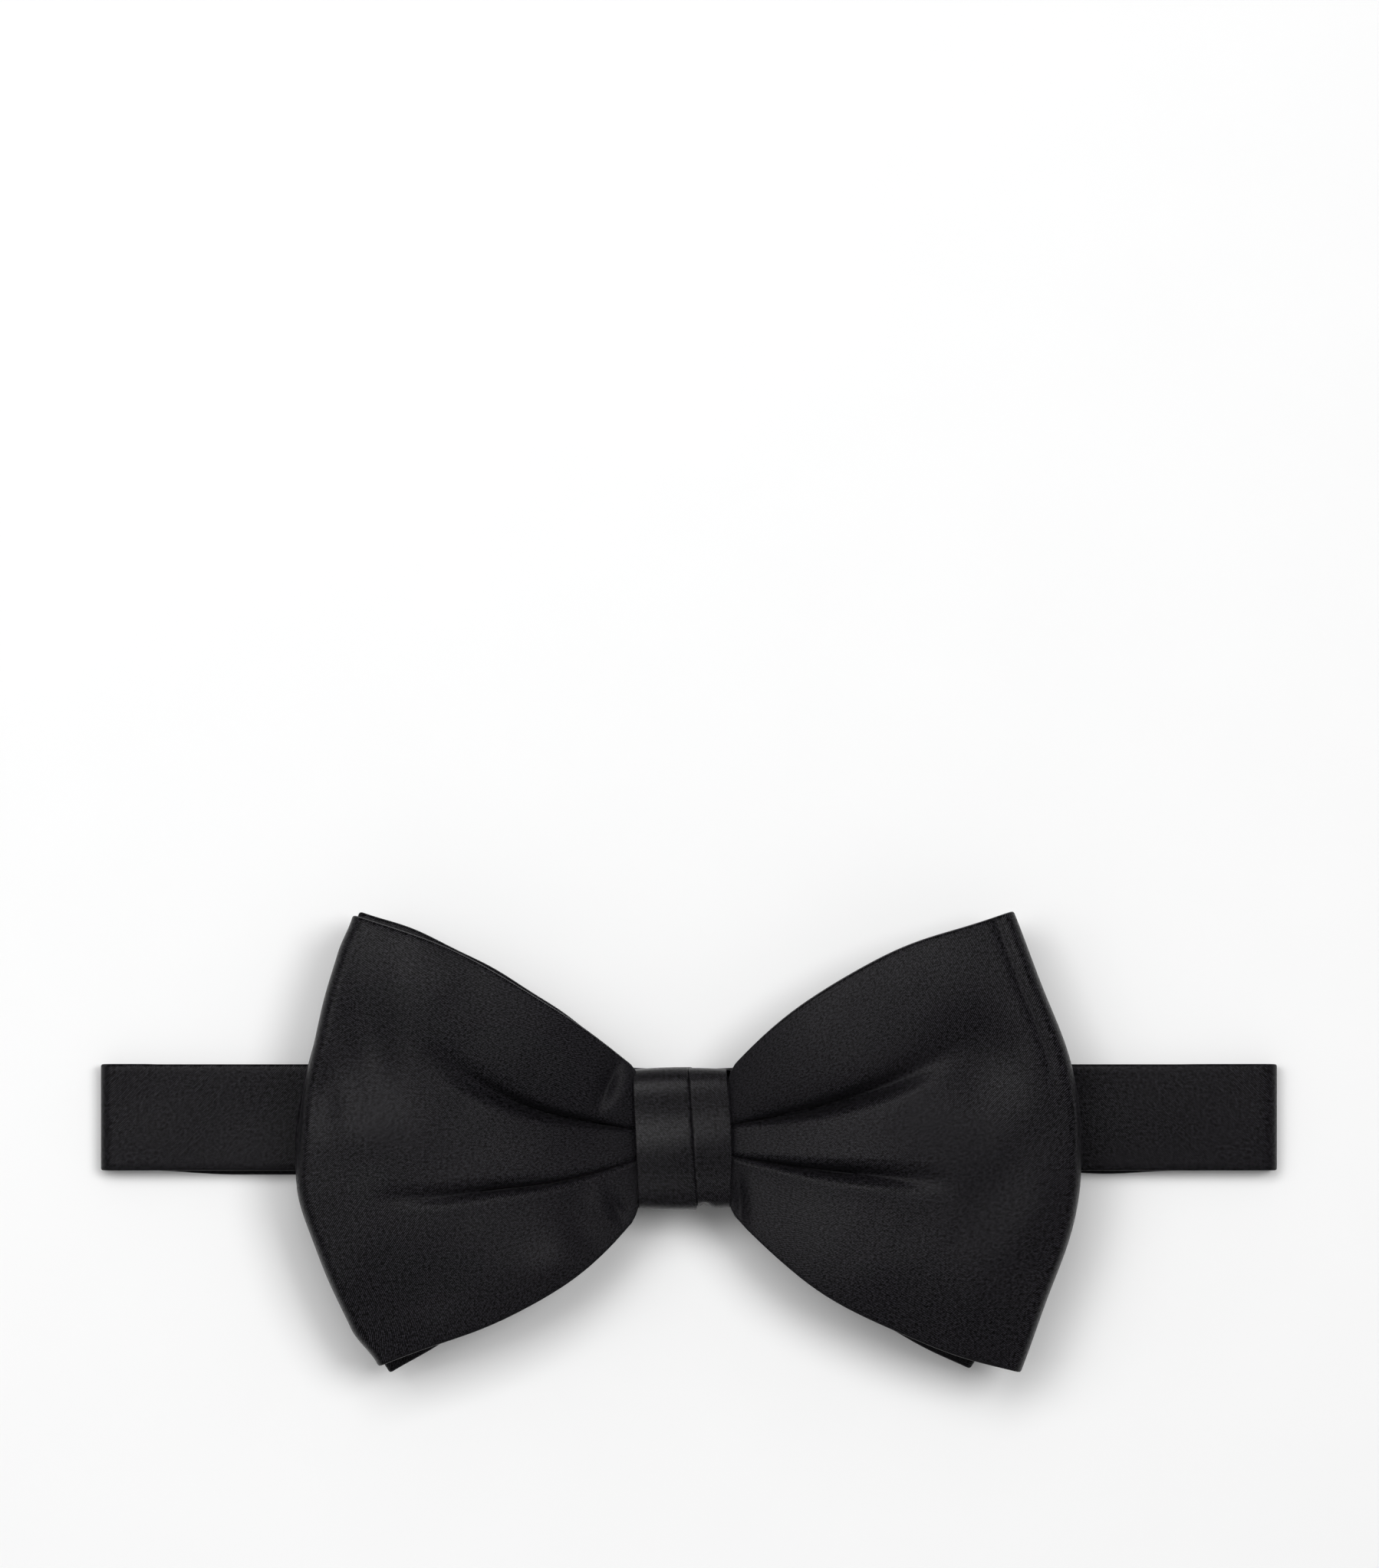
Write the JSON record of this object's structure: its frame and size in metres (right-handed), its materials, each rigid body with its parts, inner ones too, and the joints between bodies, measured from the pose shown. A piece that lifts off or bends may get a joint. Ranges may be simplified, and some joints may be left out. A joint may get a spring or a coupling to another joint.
{
  "type": "bow tie",
  "caption": "Pre-tied satin bow tie on an adjustable neck band that is folded back under the bow, with a hook, an eye and a slider.",
  "frame": {"origin": "on the surface that the tie lies on, under the middle of its box, which is the middle of the bow", "axes": "+X along the neck band to the wearer's left as seen in front, +Y up the bow, +Z out of the bow's front"},
  "size_m": [0.197, 0.0764, 0.0191],
  "materials": {
    "satin": "black satin with a soft broad sheen",
    "canvas": "stiff woven interlining",
    "thread": "matte sewing thread",
    "metal": "satin nickel"
  },
  "bodies": {
    "bow": {"bow_front_cover": "satin", "bow_front_interlining": "canvas", "bow_back_cover": "satin", "bow_back_interlining": "canvas", "waist_thread": "thread", "knot_cover": "satin", "knot_interlining": "canvas", "knot_seam_stitches": "thread", "bow_anchor_stitches": "thread", "band_front_cover": "satin", "band_front_interlining": "canvas", "band_left_bend": "satin", "band_right_bend": "satin"},
    "left_half": {"band_left_cover": "satin", "band_left_interlining": "canvas", "eye_bar_tack": "thread"},
    "eye": {"eye": "metal"},
    "right_half": {"band_right_cover": "satin"},
    "hook_loop": {"band_right_loop": "satin"},
    "hook": {"hook": "metal"},
    "slider": {"slider": "metal", "band_right_return": "satin", "slider_bar_tack": "thread"}
  },
  "joints": [
    {"name": "left_fold", "type": "hinge", "parent": "bow", "child": "left_half", "pos_m": [-0.09615, 0.004, 0.00235], "axis": [0, 1, 0], "range_deg": [0, 180], "deforming": ["band_left_bend"]},
    {"name": "right_fold", "type": "hinge", "parent": "bow", "child": "right_half", "pos_m": [0.09615, 0.004, 0.00235], "axis": [0, -1, 0], "range_deg": [0, 180], "deforming": ["band_right_bend"]},
    {"name": "eye_pivot", "type": "hinge", "parent": "left_half", "child": "eye", "pos_m": [-0.044, 0.004, 0.00147], "axis": [0, 1, 0], "range_deg": [0, 150]},
    {"name": "slider_travel", "type": "slide", "parent": "right_half", "child": "slider", "axis": [1, 0, 0], "range_m": [-0.033, 0.019], "deforming": ["band_right_return"]},
    {"name": "hook_travel", "type": "slide", "parent": "slider", "child": "hook_loop", "axis": [1, 0, 0], "range_m": [-0.0095, 0.0165], "deforming": ["band_right_cover", "band_right_loop"]},
    {"name": "hook_pivot", "type": "hinge", "parent": "hook_loop", "child": "hook", "pos_m": [0.017, 0.004, 0.00213], "axis": [0, -1, 0], "range_deg": [0, 135]}
  ],
  "couplings": [
    {"joint": "hook_travel", "follows": "slider_travel", "ratio": -0.5}
  ]
}
